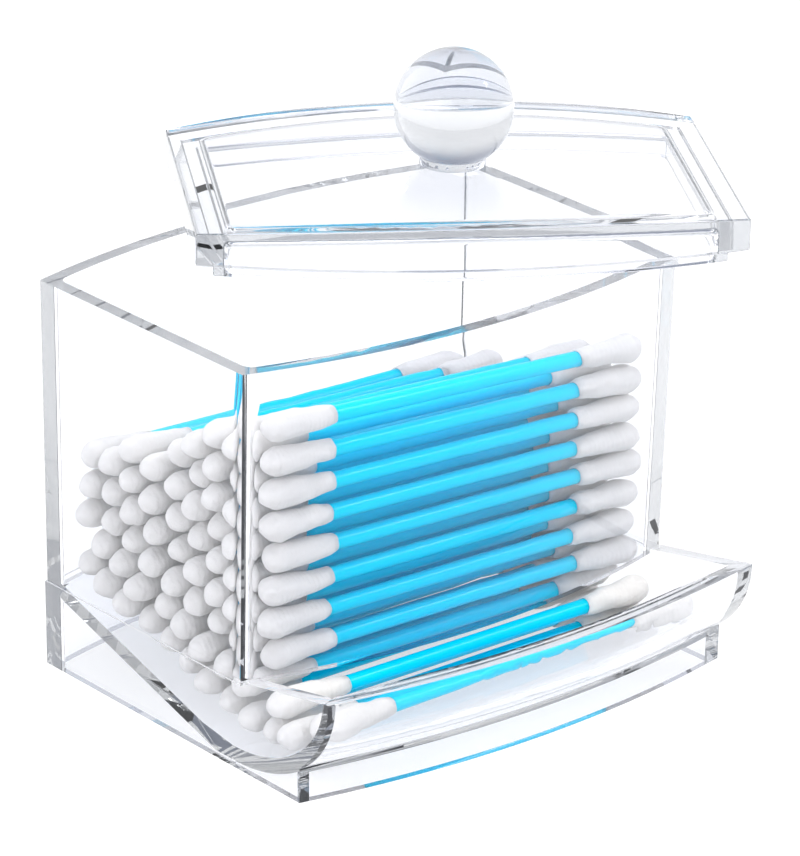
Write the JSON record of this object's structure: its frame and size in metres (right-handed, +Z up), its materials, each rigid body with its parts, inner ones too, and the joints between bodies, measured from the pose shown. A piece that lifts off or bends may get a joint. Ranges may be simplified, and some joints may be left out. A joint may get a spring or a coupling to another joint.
{
  "type": "cotton swab dispenser",
  "caption": "Clear swab dispenser: bowed box with a sloping floor, an open front tray, a lift-off lid with a ball knob set down askew, and its cotton swabs.",
  "frame": {"origin": "on the ground, under the middle of the box between its four corners", "axes": "+Z up, the tray and the front towards -Y, the swabs and the box's width along X"},
  "size_m": [0.1176, 0.1017, 0.0922],
  "materials": {
    "clear_plastic_box": "clear polished polystyrene",
    "clear_plastic_lid": "clear polished polystyrene",
    "clear_plastic_knob": "clear polished polystyrene",
    "stem_plastic": "translucent blue polypropylene",
    "cotton": "wound white cotton"
  },
  "bodies": {
    "box": {"box_body": "clear_plastic_box", "swab_stems_layer_1": "stem_plastic", "swab_stems_layer_2": "stem_plastic", "swab_stems_layer_3": "stem_plastic", "swab_stems_layer_4": "stem_plastic", "swab_stems_layer_5": "stem_plastic", "swab_stems_layer_6": "stem_plastic", "swab_stems_layer_7": "stem_plastic", "swab_stems_layer_8": "stem_plastic", "swab_stems_tray": "stem_plastic", "swab_tips_layer_1": "cotton", "swab_tips_layer_2": "cotton", "swab_tips_layer_3": "cotton", "swab_tips_layer_4": "cotton", "swab_tips_layer_5": "cotton", "swab_tips_layer_6": "cotton", "swab_tips_layer_7": "cotton", "swab_tips_layer_8": "cotton", "swab_tips_tray": "cotton"},
    "lid": {"lid": "clear_plastic_lid", "lid_knob": "clear_plastic_knob"}
  },
  "joints": [
    {"name": "lid_lift", "type": "slide", "parent": "box", "child": "lid", "axis": [0, 0, 1], "range_m": [0, 0.06]}
  ]
}
